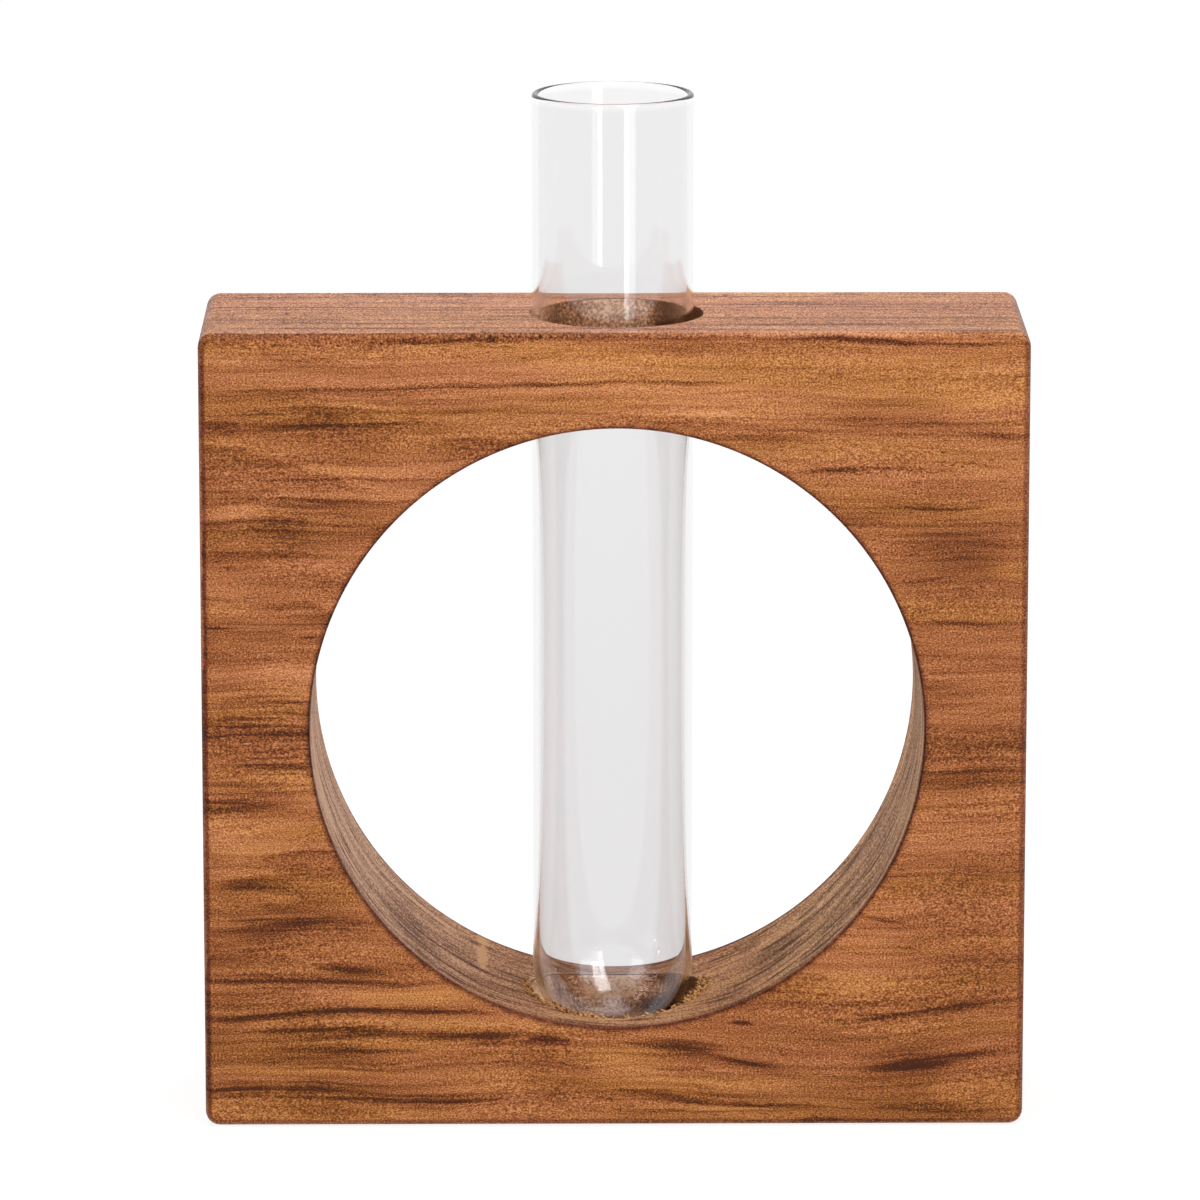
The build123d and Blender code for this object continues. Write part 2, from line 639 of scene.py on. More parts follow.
# The figure of the front face, in millimetres: x, z, half length, half height, tilt in
# degrees (up to the right), strength. Zones gather fine dark lines, strokes are single dark
# lines, and pore lines open the pores. Tone marks only lighten or darken, and light marks
# turn the wood golden as well.
DARK_ZONES = (
    (-53, 113.5, 15, 4.6, 0, 0.42),
    (-43, 110.3, 17, 1.6, 1, 0.45),
    (-21.5, 106.9, 8, 1.6, 3, 0.7),
    (-51, 104.6, 10, 1, -2, 0.4),
    (-47, 99.2, 14, 1.2, 0, 0.5),
    (-50, 95.2, 17, 4.2, 0, 0.6),
    (-53, 90.5, 9, 1.2, 0, 0.25),
    (-52, 77.5, 13, 4, 0, 0.1),
    (-56, 64.2, 14, 4, 0, 0.75),
    (-53, 61.8, 14, 2.6, 0, 0.7),
    (-51, 57.5, 9, 1.7, 0, 0.85),
    (-57.5, 52.4, 10, 2.8, 0, 0.9),
    (-58, 40.3, 8, 1.6, 0, 0.1),
    (-50, 32.4, 11, 2, 2, 1),
    (-40, 25.2, 6, 0.8, 0, 0.7),
    (-47, 23.3, 21, 1.3, 0, 0.75),
    (-57, 20.5, 9, 1.6, 0, 0.35),
    (-57, 17.3, 9, 1, 1, 0.6),
    (-42, 18.1, 11, 1.3, 3, 0.85),
    (-27, 18.4, 11, 0.9, -1, 0.6),
    (-50, 14.2, 18, 1.4, 0, 0.45),
    (-25, 14.6, 12, 1.1, -1, 0.95),
    (-42, 14.8, 13, 1.2, 0, 0.7),
    (-19, 13.5, 5, 0.8, 6, 0.6),
    (-10.5, 13.4, 3.4, 0.9, -2, 0.9),
    (-44, 11.4, 10, 1.8, 0, 0.75),
    (-59, 5.8, 6, 1.5, 0, 0.85),
    (-45, 5.8, 11, 2.2, 0, 0.95),
    (-30, 4.1, 12, 1.2, -1, 0.9),
    (23.5, 108.6, 10, 2.2, 5, 0.45),
    (45, 111.2, 14, 2.9, -4, 0.5),
    (38, 96.6, 6, 1.1, 4, 0.75),
    (49, 94.6, 14, 3, -3, 0.4),
    (54, 91.3, 9, 3, -3, 0.5),
    (57, 74.6, 8, 1.5, -3, 0.25),
    (57.5, 61.2, 8, 3, 0, 0.12),
    (55.5, 55.3, 12, 2.4, 0, 0.5),
    (59, 40.6, 8, 3, 0, 0.4),
    (41, 16.7, 7, 1, 8, 0.5),
    (55, 19, 10, 1.2, 8, 0.5),
    (11, 12.9, 6.5, 1.2, -5, 0.8),
    (22.5, 9.8, 5.5, 1.1, -10, 0.8),
    (46, 10.2, 8, 1.9, 4, 1.15),
    (57.5, 12, 8, 1, 10, 0.55),
    (17, 4.6, 20, 2.4, -3, 0.5),
    (52, 3.5, 14, 0.9, 1, 0.6),
)
DARK_STROKES = (
    (-25, 124.5, 18, 0.4, 0, 0.9),
    (-48, 121.8, 10, 0.3, 0, 0.5),
    (-29, 116.8, 22, 0.32, 1.8, 0.8),
    (-4, 117.6, 16, 0.34, 0.3, 0.8),
    (11.5, 117.5, 6.5, 0.4, 1, 0.8),
    (-40, 110.6, 12, 0.4, 1.5, 0.7),
    (-35, 102.7, 13, 0.3, 2.5, 0.7),
    (-49, 102, 8, 0.26, 0, 0.5),
    (-42, 99.2, 16, 0.3, 0, 0.7),
    (-61.1, 79.5, 2.4, 0.22, -2, 1.8),
    (-46.9, 77.9, 1.2, 0.2, 0, 1.5),
    (-49, 67.4, 5, 0.36, 0, 0.9),
    (-57, 38.3, 7, 0.3, 0, 0.8),
    (39, 123.8, 13, 0.55, -0.5, 1.3),
    (56.5, 123.7, 7, 0.3, 0, 0.8),
    (58.5, 109.3, 5, 0.4, -4, 0.9),
    (38.5, 103.8, 14, 0.32, 1, 0.9),
    (34.5, 103.4, 4, 0.45, 0, 0.7),
    (56, 104.7, 6, 0.26, -3, 0.6),
    (49.5, 98.4, 7, 0.28, 0, 0.8),
    (48, 86.6, 5, 0.26, 8, 0.6),
    (54.5, 80.1, 11, 0.4, 1, 0.9),
    (41.3, 33.1, 4.2, 0.4, -10, 0.9),
    (19.7, 16.8, 1.6, 0.4, 0, 1.5),
    (11, 12.9, 5, 0.55, -5, 1.2),
    (11, 9.7, 4, 0.35, 0, 0.6),
    (45.8, 9.9, 5.5, 0.7, 3, 1.5),
    (42, 16.8, 4, 0.32, 8, 0.9),
    (54, 18.9, 8, 0.35, 9, 0.9),
    (54, 11.8, 6, 0.38, 8, 0.9),
    (4.5, 13.4, 3.5, 0.32, -5, 0.9),
    (18.5, 10.8, 5, 0.38, -12, 0.9),
    (10, 4.9, 9, 0.5, -6, 0.9),
    (25, 3.4, 9, 0.4, -2, 0.8),
    (47, 3, 10, 0.3, 0, 0.6),
    (-43, 18.2, 8, 0.5, 3, 1.2),
    (-41, 25.2, 5, 0.4, 0, 1),
    (-49.5, 32.6, 6, 0.8, 3, 1),
    (-47, 23.3, 15, 0.45, 0, 1.2),
    (-54, 17.5, 7, 0.4, 1, 1.1),
    (-29, 18.6, 7, 0.4, -2, 0.9),
    (-46, 15, 10, 0.4, 0, 0.8),
    (-21, 14.4, 7, 0.45, -1, 1.1),
    (-10.5, 13.5, 3, 0.5, -2, 1.1),
    (-37, 12.3, 8, 0.38, 0, 0.9),
    (-28, 4, 8, 0.5, -1, 0.9),
    (-38, 9.7, 22, 0.28, 0.5, 0.5),
    (32, 0.9, 3, 0.4, 0, 0.9),
)
PORE_LINES = (
    (-24, 124.3, 20, 0.9, 0, 1),
    (-52, 124.2, 12, 0.6, 0, 0.6),
    (39, 123.9, 14, 0.8, 0, 0.8),
    (57, 123.7, 8, 0.6, 0, 0.8),
    (20, 3.9, 30, 0.7, -1, 1),
    (52, 4, 12, 0.8, 2, 1),
    (4, 2.4, 24, 0.5, -1, 0.9),
    (34, 1, 14, 0.6, 0, 1),
    (-20, 9.6, 16, 0.8, 0, 0.7),
    (-14, 4.2, 14, 0.8, -1, 0.7),
    (-47, 32, 12, 1.6, 0, 0.5),
    (-38, 18.6, 22, 0.8, 2, 0.5),
    (40, 103.7, 16, 0.6, 1, 0.5),
)
TONE_MARKS = (
    (52, 62, 18, 42, 0, -0.4),
    (0, 6, 90, 13, 0, -0.6),
    (-50, 62, 16, 30, 0, 0.35),
    (-55, 86, 19, 17, 0, 1.5),
    (56, 24.5, 13, 8, 0, -1.6),
    (57.5, 15.5, 7, 3, 0, 0.6),
    (58, 8, 6, 3, 0, -0.6),
    (57.5, 76, 8, 3, 0, 0.5),
    (54, 88, 12, 5, 0, -1.3),
    (49, 100, 9, 3.5, 0, -0.9),
    (57.5, 68, 9, 4.5, 0, 0.7),
    (57, 112.5, 9, 3.5, 0, 0.7),
    (-58, 36, 9, 4, 0, -1.4),
    (-58, 60, 7, 4, 0, -0.7),
    (-41, 112.8, 9, 2.6, 0, 0.9),
    (-41, 107.6, 9, 2.6, 0, -0.8),
    (-8, 7, 6, 3.2, 0, -1.1),
    (-45, 96, 12, 2.6, 0, -1.1),
    (-58, 100, 7, 3, 0, 0.6),
    (-54, 81.5, 12, 4, 0, 0.7),
    (-58, 69.5, 8, 3.5, 0, -1),
    (-49, 48, 9, 3, 0, -0.6),
    (-49, 40, 9, 2.6, 0, 0.6),
    (-41, 32.5, 5, 3, 0, -0.8),
    (-33, 12, 7, 2.4, 0, 0.6),
    (-16, 16, 6, 2, 0, 0.6),
    (-3, 120.5, 12, 3, 0, 0.7),
    (18, 5.5, 15, 4.5, 0, 0.9),
    (38, 19.3, 9, 1.8, 0, 0.5),
    (14, 111.5, 6, 1.6, 0, 0.9),
    (-51, 63, 6, 2, 0, 0.7),
    (-49, 17, 9, 1.2, 0, -0.9),
    (-14, 9, 5, 1.8, 0, -0.9),
    (-60, 57, 4.5, 2.2, 0, -0.9),
    (-43, 113.2, 6, 1.6, 0, 0.6),
    (-2, 11, 6, 2, 0, 0.8),
    (22, 3, 11, 2.5, 0, 0.6),
    (-58, 94.5, 6, 3.5, 0, 0.9),
    (-41, 91.5, 7, 2.4, 0, 0.8),
    (54, 38, 12, 4, 0, -0.7),
)
LIGHT_MARKS = (
    (-41, 103.7, 12, 0.8, 1, 0.9),
    (-2, 121, 30, 5, 0, 0.7),
    (14, 114.5, 22, 3, 0, 0.7),
    (38, 124.9, 24, 0.7, 0, 0.9),
    (-56, 46.5, 10, 4, 0, 0.5),
    (-50, 40.5, 12, 2.4, 0, 0.8),
    (60.5, 88.2, 4, 1.6, 0, 0.8),
    (-31, 21.2, 13, 2.2, 0, 1.4),
    (-28, 16.5, 12, 0.8, 0, 0.8),
    (-50, 9.1, 15, 1, 0, 1.1),
    (-18, 7, 16, 2.2, -2, 0.9),
    (-33, 1.6, 34, 1.4, 0, 0.8),
    (3, 11, 7, 2.4, 0, 1),
    (5, 7.5, 26, 1.6, -2, 0.8),
)


def lay_marks(nodes, place, tree, marks, depth):
    """Chains one group node for each mark. Returns their sum."""
    total = 0.0
    for x, z, half_length, half_height, tilt, strength in marks:
        mark = nodes.group(
            tree,
            Sum=total,
            Place=place,
            Centre=(x, FRONT_Y, z),
            Half_Size=(half_length, depth, half_height),
            Tilt=math.radians(tilt),
            Strength=strength,
        )
        total = mark.outputs["Sum"]
    return total


def lean_grain(nodes, place, tree):
    """Chains one group node for each leaning patch. Returns the bent place."""
    for x, z, half_length, half_height, slope in GRAIN_LEANS:
        lean = nodes.group(
            tree,
            Place=place,
            Centre=(x, FRONT_Y, z),
            Half_Size=(half_length, 30.0, half_height),
            Slope=slope,
        )
        place = lean.outputs["Place"]
    return place


def figure_group(rings, fibres, pores, mark, lean):
    """The whole figure of the wood. Tone is 0 darkest to 1 lightest, Height is for bump."""
    tree, nodes, given, made = new_group(
        "wood_figure",
        [("Place", VECTOR, None)],
        [("Tone", FLOAT), ("Hue", FLOAT), ("Pore", FLOAT), ("Height", FLOAT)],
    )
    place = given["Place"]
    grain = lean_grain(nodes, place, lean)
    x, y, z = nodes.split(place)
    front = nodes.math("MULTIPLY", nodes.math("ABSOLUTE", y), -1.0)
    both_faces = nodes.join(x, front, z)
    zones = lay_marks(nodes, both_faces, mark, DARK_ZONES, 9.0)
    strokes = lay_marks(nodes, both_faces, mark, DARK_STROKES, 4.0)
    broad = lay_marks(nodes, both_faces, mark, TONE_MARKS, 9.0)
    light = lay_marks(nodes, both_faces, mark, LIGHT_MARKS, 9.0)
    open_grain = lay_marks(nodes, both_faces, mark, PORE_LINES, 3.0)
    growth = nodes.group(rings, Place=grain).outputs["Late Wood"]
    shade = nodes.group(fibres, Place=grain).outputs["Shade"]
    pore = nodes.group(pores, Place=grain, Amount=open_grain).outputs["Pore"]

    lines = nodes.remap(nodes.stretched(grain, 26.0, 5.0, 0.8, 3.0), 0.44, 0.66, smooth=True)
    crowd = nodes.remap(nodes.stretched(grain, 42.0, 14.0, 6.0), 0.42, 0.66, smooth=True)
    gather = nodes.scale_add(crowd, 0.10, 0.05)
    gather = nodes.scale_add(zones, 0.26, gather)
    dark = nodes.math("MULTIPLY", lines, gather)
    dark = nodes.scale_add(zones, 0.20, dark)
    broken = nodes.remap(shade, 0.2, 0.8, 0.42, 0.24)
    dark = nodes.scale_add(strokes, broken, dark)
    dark = nodes.scale_add(growth, 0.34, dark)
    dark = nodes.scale_add(pore, 0.22, dark)

    pale = nodes.swing(nodes.stretched(grain, 60.0, 24.0, 9.0), 0.26, 0.62)
    pale = nodes.swing(nodes.stretched(grain, 80.0, 12.0, 2.4, 3.0), 0.26, pale)
    pale = nodes.swing(shade, 1.0, pale)
    pale = nodes.scale_add(light, 0.12, pale)
    pale = nodes.scale_add(broad, 0.12, pale)
    nodes.feed(made["Tone"], nodes.math("SUBTRACT", pale, dark))

    hue = nodes.scale_add(light, 0.20, nodes.stretched(grain, 70.0, 20.0, 7.0))
    hue = nodes.swing(nodes.stretched(grain, 30.0, 10.0, 1.8), 0.35, hue)
    hue = nodes.swing(nodes.stretched(grain, 0.9, 0.7, 0.35, 1.0), 0.7, hue)
    hue = nodes.math("ADD", hue, nodes.remap(z, 35.0, 8.0, 0.0, 0.06))
    nodes.feed(made["Hue"], hue)
    nodes.feed(made["Pore"], pore)
    nodes.feed(made["Height"], nodes.scale_add(pore, -0.6, shade))
    return tree


def cut_direction_group():
    """How far a surface is cut across the fibres, and how far it turns from side to front.

    The rounded edge is a mask for painted shade: a dark band where the edge turns away, strongest at
    the left, which faces away from the light, and least at the right and at the top.
    """
    tree, nodes, given, made = new_group(
        "cut_direction",
        [("Normal", VECTOR, None)],
        [("End Grain", FLOAT), ("Shaded Rounded Edge", FLOAT)],
    )
    lengths = nodes.vector("ABSOLUTE", given["Normal"])
    to_right = nodes.split(given["Normal"])[0]
    x, y, z = nodes.split(lengths)
    nodes.feed(made["End Grain"], nodes.remap(x, 0.25, 0.90, smooth=True))
    turning = nodes.remap(y, 0.55, 0.84, smooth=True)
    turned = nodes.remap(y, 0.93, 0.995, 1.0, 0.0, smooth=True)
    upright = nodes.remap(z, 0.10, 0.60, 1.0, 0.55)
    rounded = nodes.math("MULTIPLY", turning, turned)
    rounded = nodes.math("MULTIPLY", rounded, nodes.remap(to_right, -0.2, 0.2, 1.0, 0.55))
    nodes.feed(made["Shaded Rounded Edge"], nodes.math("MULTIPLY", rounded, upright))
    return tree


def window_rim_shade_group():
    """The painted shade of a rounded rim: a dark line round the window's front and back rims, on the
    face and on the wall.
    """
    tree, nodes, given, made = new_group(
        "window_rim",
        [("Object", VECTOR, None)],
        [("Face Side", FLOAT), ("Wall Side", FLOAT)],
    )
    place = nodes.millimetres(given["Object"])
    ragged = nodes.noise(place, 1.6)
    from_centre = nodes.vector("SUBTRACT", place, (WINDOW_X / MM, 0.0, WINDOW_Z / MM))
    in_plane = nodes.vector("MULTIPLY", from_centre, (1.0, 0.0, 1.0))
    outside = nodes.math("SUBTRACT", nodes.vector("LENGTH", in_plane), WINDOW_RADIUS / MM)
    outside = nodes.swing(ragged, 1.2, outside)
    nodes.feed(made["Face Side"], nodes.remap(outside, 1.1, 0.0, smooth=True))
    depth = nodes.math("ABSOLUTE", nodes.split(place)[1])
    depth = nodes.swing(ragged, 1.2, depth)
    nodes.feed(made["Wall Side"], nodes.remap(depth, 17.0, 18.7, smooth=True))
    return tree


# Dark blotches of the window's wall, in millimetres: x, y, z, half length, strength.
WALL_BLOTCHES = (
    (-32, -6, 28, 6.5, -0.3),
    (-15, 6, 18, 5, -0.12),
    (18, -13, 19, 5, -0.24),
    (25, -3, 23, 5, -0.2),
    (34, -8, 30, 7, -0.12),
)


def lay_blotches(nodes, place, mark, total):
    for x, y, z, half_length, strength in WALL_BLOTCHES:
        blotch = nodes.group(
            mark,
            Sum=total,
            Place=place,
            Centre=(x, y, z),
            Half_Size=(half_length, 7.0, half_length),
            Strength=strength,
        )
        total = blotch.outputs["Sum"]
    return total


def hole_saw_group(mark):
    """The wall that the hole saw left: fine lines at one depth, dull, with a scuffed patch, and painted
    light partway up its sides.
    """
    tree, nodes, given, made = new_group(
        "hole_saw_marks",
        [("Object", VECTOR, None)],
        [("Tone", FLOAT), ("Warmth", FLOAT), ("Torn", FLOAT), ("Height", FLOAT)],
    )
    place = nodes.millimetres(given["Object"])
    x, y, z = nodes.split(place)
    drift = nodes.swing(nodes.stretched(place, 22.0, 30.0, 22.0, 1.0), 8.0)
    grain = nodes.vector("ADD", place, nodes.join(0.0, drift, 0.0))

    def noise(length, depth, detail):
        return nodes.stretched(grain, length, depth, length, detail, 0.6)

    bands = noise(34.0, 4.5, 2.0)
    lines = nodes.remap(noise(15.0, 1.3, 3.0), 0.48, 0.64, smooth=True)
    broken = nodes.remap(noise(5.0, 2.0, 2.0), 0.35, 0.62, smooth=True)
    lines = nodes.math("MULTIPLY", lines, nodes.scale_add(broken, 0.7, 0.3))
    fainter = nodes.remap(nodes.math("ABSOLUTE", x), 32.0, 46.0, 1.0, 0.85)
    lines = nodes.math("MULTIPLY", lines, fainter)
    speckle = noise(0.34, 0.60, 0.0)
    tone = nodes.swing(bands, 1.2, 0.78)
    tone = nodes.swing(speckle, 1.2, tone)
    tone = nodes.scale_add(lines, -0.80, tone)
    # Painted light and shade: the wall grows lighter from 28 to 50 mm up, where lamps at the sides
    # light it, and darker again from 58 to 74 mm, towards the window's top.
    tone = nodes.math("ADD", tone, nodes.remap(z, 28.0, 50.0, -0.04, 0.11))
    tone = nodes.math("ADD", tone, nodes.remap(z, 58.0, 74.0, 0.0, -0.22))
    tone = nodes.math("ADD", tone, nodes.remap(x, 10.0, 24.0, 0.05, -0.06))
    tone = lay_blotches(nodes, place, mark, tone)
    scuff = nodes.group(
        mark,
        Place=place,
        Centre=(-20.6, 10.0, 20.5),
        Half_Size=(0.8, 13.0, 8.0),
        Strength=0.75,
    ).outputs["Sum"]
    nodes.feed(made["Tone"], nodes.math("ADD", tone, scuff))
    warmth = nodes.math("ADD", nodes.remap(x, 0.0, 32.0, smooth=True), scuff)
    nodes.feed(made["Warmth"], nodes.swing(bands, 0.8, warmth))

    from_bore = nodes.vector("SUBTRACT", place, (BORE_X / MM, 0.0, 0.0))
    outside = nodes.vector("LENGTH", nodes.vector("MULTIPLY", from_bore, (1.0, 1.0, 0.0)))
    outside = nodes.math("SUBTRACT", outside, BORE_RADIUS / MM)
    outside = nodes.swing(noise(0.9, 0.9, 2.0), 3.0, outside)
    left_front = nodes.remap(nodes.math("ADD", x, y), 0.0, -14.0, 0.1, 0.8, smooth=True)
    torn = nodes.math("MULTIPLY", nodes.remap(outside, 1.0, 0.1, smooth=True), left_front)
    nodes.feed(made["Torn"], torn)
    nodes.feed(made["Height"], nodes.scale_add(lines, -0.5, speckle))
    return tree


def drill_group():
    """The wall and floor that the drill left in the tube's hole: fine rings, blotched and torn.

    Their tone carries painted light and shade: lighter in the middle and at the far left, darker at the
    right and on the floor, where the floor meets the wall in shade.
    """
    tree, nodes, given, made = new_group(
        "drill_marks",
        [("Object", VECTOR, None)],
        [("Tone", FLOAT), ("Height", FLOAT)],
    )
    place = nodes.millimetres(given["Object"])
    x, y, z = nodes.split(place)
    torn = nodes.noise(place, 0.45, 2.0, 0.6)
    tone = nodes.swing(nodes.stretched(place, 12.0, 12.0, 0.5), 0.5, 0.56)
    tone = nodes.swing(nodes.stretched(place, 7.0, 4.0, 4.0), 1.0, tone)
    tone = nodes.swing(torn, 1.9, tone)
    # Painted light and shade: lighter in the middle, at the far left and low on the wall, darker at the
    # sides, at the right and in the corner at the floor.
    sideways = nodes.math("ABSOLUTE", nodes.math("SUBTRACT", x, BORE_X / MM))
    tone = nodes.math("ADD", tone, nodes.remap(sideways, 3.0, 9.0, 0.20, -0.30, smooth=True))
    tone = nodes.math("ADD", tone, nodes.remap(x, 5.0, 10.0, 0.0, -0.35))
    tone = nodes.math("ADD", tone, nodes.remap(x, -10.0, -12.5, 0.0, 0.55))
    tone = nodes.math("ADD", tone, nodes.remap(z, 22.0, 14.0, 0.0, 0.25))
    floor_corner_shade = nodes.remap(z, 13.0, 9.5, smooth=True)
    darker = nodes.remap(x, -9.0, -3.0, 0.15, -0.50)
    tone = nodes.scale_add(floor_corner_shade, darker, tone)
    nodes.feed(made["Tone"], tone)
    nodes.feed(made["Height"], nodes.math("MULTIPLY", torn, 1.6))
    return tree


# The finishes of the wood. Tones run from the darkest to the lightest.
SANDED_TONES = (
    (0.00, (0.062, 0.016, 0.004)),
    (0.15, (0.120, 0.033, 0.008)),
    (0.30, (0.190, 0.056, 0.013)),
    (0.45, (0.300, 0.100, 0.026)),
    (0.60, (0.430, 0.158, 0.050)),
    (0.75, (0.570, 0.235, 0.085)),
    (1.00, (0.760, 0.370, 0.160)),
)
SAWN_SIDE_TONES = (
    (0.00, (0.080, 0.034, 0.018)),
    (0.35, (0.190, 0.080, 0.038)),
    (0.65, (0.330, 0.150, 0.075)),
    (1.00, (0.580, 0.330, 0.180)),
)
# Where the wall cuts across the fibres: the end grain's own greyer colour, made lighter as well as
# painted sheen and side light, since the wall is seen there at a grazing angle.
SAWN_END_AND_SHEEN_TONES = (
    (0.00, (0.085, 0.040, 0.024)),
    (0.35, (0.215, 0.110, 0.068)),
    (0.65, (0.400, 0.225, 0.148)),
    (1.00, (0.700, 0.460, 0.320)),
)
# Raw wood, lighter than the sanded wood, and lighter still as painted light, since little light reaches
# into the hole.
DRILLED_TONES = (
    (0.00, (0.075, 0.024, 0.005)),
    (0.30, (0.215, 0.080, 0.025)),
    (0.55, (0.422, 0.190, 0.090)),
    (0.80, (0.672, 0.355, 0.212)),
    (1.00, (0.900, 0.610, 0.380)),
)
TORN_TONES = (
    (0.00, (0.080, 0.032, 0.012)),
    (0.35, (0.340, 0.150, 0.052)),
    (0.60, (0.680, 0.360, 0.135)),
    (1.00, (0.950, 0.660, 0.340)),
)
GOLDEN = (1.03, 1.045, 0.86, 1.0)
REDDISH = (1.01, 0.945, 1.08, 1.0)
MAUVE = (1.02, 0.965, 0.92, 1.0)
OLIVE = (1.04, 0.95, 0.74, 1.0)
END_GRAIN_TINT = (0.62, 0.54, 0.58, 1.0)
# Painted shade on the rounded outline edges, darkest at the left.
ROUNDED_EDGE_SHADE_TINT = (0.50, 0.34, 0.34, 1.0)
# Painted shade along the window's rims, on the face and on the wall.
RIM_SHADE_TINT = (0.40, 0.30, 0.31, 1.0)
WALL_RIM_SHADE_TINT = (0.52, 0.38, 0.36, 1.0)


def wood_shader(name, roughness, specular):
    """A material with a plain sheen. Returns it, its node helper, its shader and coordinates."""
    material = bpy.data.materials.new(name)
    material.use_nodes = True
    tree = material.node_tree
    nodes = Nodes(tree)
    shader = tree.nodes["Principled BSDF"]
    shader.inputs["Roughness"].default_value = roughness
    shader.inputs["Specular IOR Level"].default_value = specular
    source = nodes.add("ShaderNodeTexCoord")
    return material, nodes, shader, source


def add_relief(nodes, shader, height, distance):
    relief = nodes.add("ShaderNodeBump")
    relief.inputs["Strength"].default_value = 1.0
    relief.inputs["Distance"].default_value = distance
    nodes.feed(relief.inputs["Height"], height)
    nodes.feed(shader.inputs["Normal"], relief.outputs["Normal"])


def sanded_material(groups):
    """The block's outside: sanded and oiled, dark where it is cut across the fibres, with painted shade
    along the rounded edges and the window's rims.
    """
    material, nodes, shader, source = wood_shader("wood_sanded", roughness=0.38, specular=0.14)
    place = nodes.group(groups["space"], Object=source.outputs["Object"]).outputs["Place"]
    figure = nodes.group(groups["figure"], Place=place)
    direction = nodes.group(groups["direction"], Normal=source.outputs["Normal"])
    rim = nodes.group(groups["rim"], Object=source.outputs["Object"])
    colour = nodes.ramp(figure.outputs["Tone"], SANDED_TONES)
    cast = nodes.remap(figure.outputs["Hue"], 0.44, 0.72, smooth=True)
    cast_colour = nodes.mix_colour(cast, REDDISH, GOLDEN)
    colour = nodes.mix_colour(1.0, colour, cast_colour, "MULTIPLY")
    # End grain darkens as the wood itself does; the rounded edge and the window's rim masks paint
    # shade.
    for mask, tint in (
        (direction.outputs["End Grain"], END_GRAIN_TINT),
        (direction.outputs["Shaded Rounded Edge"], ROUNDED_EDGE_SHADE_TINT),
        (rim.outputs["Face Side"], RIM_SHADE_TINT),
    ):
        colour = nodes.mix_colour(mask, colour, tint, "MULTIPLY")
    nodes.feed(shader.inputs["Base Color"], colour)
    rough = nodes.remap(figure.outputs["Tone"], 0.2, 0.9, 0.46, 0.34)
    rough = nodes.scale_add(figure.outputs["Pore"], 0.15, rough)
    nodes.feed(shader.inputs["Roughness"], rough)
    add_relief(nodes, shader, figure.outputs["Height"], 0.05 * MM)
    return material


def window_wall_material(groups):
    """The window's wall, as the hole saw left it: greyer and lighter where it cuts across the fibres,
    partly end grain and partly painted sheen.
    """
    material, nodes, shader, source = wood_shader("wood_window_wall", roughness=0.70, specular=0.12)
    saw = nodes.group(groups["saw"], Object=source.outputs["Object"])
    direction = nodes.group(groups["direction"], Normal=source.outputs["Normal"])
    rim = nodes.group(groups["rim"], Object=source.outputs["Object"])
    side = nodes.ramp(saw.outputs["Tone"], SAWN_SIDE_TONES)
    end = nodes.ramp(saw.outputs["Tone"], SAWN_END_AND_SHEEN_TONES)
    colour = nodes.mix_colour(direction.outputs["End Grain"], side, end)
    warmth = nodes.math("MULTIPLY", saw.outputs["Warmth"], 1.0, clamp=True)
    cast = nodes.mix_colour(warmth, MAUVE, OLIVE)
    colour = nodes.mix_colour(1.0, colour, cast, "MULTIPLY")
    # Painted shade along the window's rims.
    colour = nodes.mix_colour(rim.outputs["Wall Side"], colour, WALL_RIM_SHADE_TINT, "MULTIPLY")
    fluff = nodes.ramp(saw.outputs["Tone"], TORN_TONES)
    colour = nodes.mix_colour(saw.outputs["Torn"], colour, fluff)
    nodes.feed(shader.inputs["Base Color"], colour)
    add_relief(nodes, shader, saw.outputs["Height"], 0.08 * MM)
    return material


def drilled_material(groups):
    """The wall and floor of the tube's hole, never sanded."""
    material, nodes, shader, source = wood_shader("wood_drilled", roughness=0.80, specular=0.20)
    drill = nodes.group(groups["drill"], Object=source.outputs["Object"])
    nodes.feed(shader.inputs["Base Color"], nodes.ramp(drill.outputs["Tone"], DRILLED_TONES))
    add_relief(nodes, shader, drill.outputs["Height"], 0.25 * MM)
    return material


def torn_material():
    """Raw golden fibres, each splinter a little lighter or darker."""
    material, nodes, shader, source = wood_shader("wood_torn", roughness=0.80, specular=0.10)
    speckle = nodes.noise(source.outputs["Object"], 0.45 * MM, 1.0)
    speckle = nodes.remap(speckle, 0.30, 0.70)
    nodes.feed(shader.inputs["Base Color"], nodes.ramp(speckle, TORN_TONES))
    return material


def wood_groups():
    mark = mark_group()
    figure = figure_group(growth_group(), fibre_group(), pore_group(), mark, lean_group(mark))
    return {
        "space": grain_space_group(),
        "figure": figure,
        "direction": cut_direction_group(),
        "rim": window_rim_shade_group(),
        "saw": hole_saw_group(mark),
        "drill": drill_group(),
    }


WINDOW_WALL_SLOT = 1
DRILLED_SLOT = 2


def finish_wood(block):
    """Three finishes: the sanded outside, the window's wall and the drilled hole."""
    groups = wood_groups()
    for make_finish in (sanded_material, window_wall_material, drilled_material):
        block.data.materials.append(make_finish(groups))
    for face in block.data.polygons:
        corners = [block.data.vertices[number].co for number in face.vertices]
        if all(from_bore_axis(corner) < BORE_RADIUS + CLOSE for corner in corners):
            face.material_index = DRILLED_SLOT
        elif all(from_window_axis(corner) < WINDOW_RADIUS + CLOSE for corner in corners):
            face.material_index = WINDOW_WALL_SLOT


